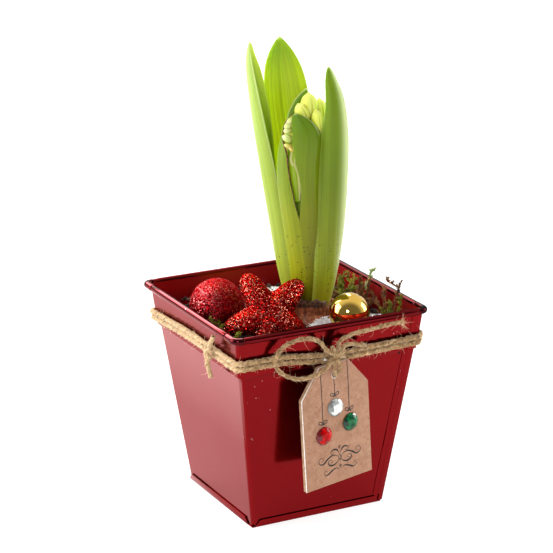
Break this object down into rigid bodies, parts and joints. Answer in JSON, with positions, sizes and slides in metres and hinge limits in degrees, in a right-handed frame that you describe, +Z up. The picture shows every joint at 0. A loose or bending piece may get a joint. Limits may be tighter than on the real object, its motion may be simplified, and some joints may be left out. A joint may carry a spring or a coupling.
{
  "type": "potted hyacinth",
  "caption": "Hyacinth in bud with upright leaves, in a tapered square red metal pot dressed with baubles, a glitter star, jute twine and a gift tag.",
  "frame": {"origin": "middle of the pot's underside, on the surface that it stands on", "axes": "+Z up; the front face, which carries the tag, looks along -Y; +X to the right seen from the front"},
  "size_m": [0.1223, 0.1253, 0.2585],
  "materials": {
    "lacquer": "gloss lacquer",
    "soil": "loose and damp",
    "snow": "matte flakes",
    "bulb": "papery",
    "leaf": "waxy satin",
    "bud": "waxy satin",
    "moss": "dull",
    "red_glitter": "glitter",
    "gold": "mirror plated",
    "jute": "hairy",
    "kraft": "matte board",
    "clear_gem": "faceted",
    "red_gem": "faceted gloss",
    "green_gem": "faceted gloss"
  },
  "bodies": {
    "root": {"pot_wall": "lacquer", "pot_base": "lacquer", "soil": "soil", "snow_front": "snow", "snow_back": "snow", "snow_right": "snow", "moss_right": "moss", "moss_front": "moss", "moss_back": "moss", "moss_left": "moss", "bulb": "bulb", "leaf_left": "leaf", "leaf_right": "leaf", "leaf_back": "leaf", "leaf_front": "leaf", "leaf_inner": "leaf", "flower_head": "bud", "glitter_ball": "red_glitter", "glitter_star": "red_glitter", "gold_ball": "gold", "twine_wrap_upper": "jute", "twine_wrap_lower": "jute", "twine_knot_front": "jute", "twine_knot_side": "jute", "bow_loop": "jute", "bow_tail": "jute", "tag_tie": "jute", "gift_tag": "kraft", "gem_clear": "clear_gem", "gem_red": "red_gem", "gem_green": "green_gem"}
  },
  "joints": []
}
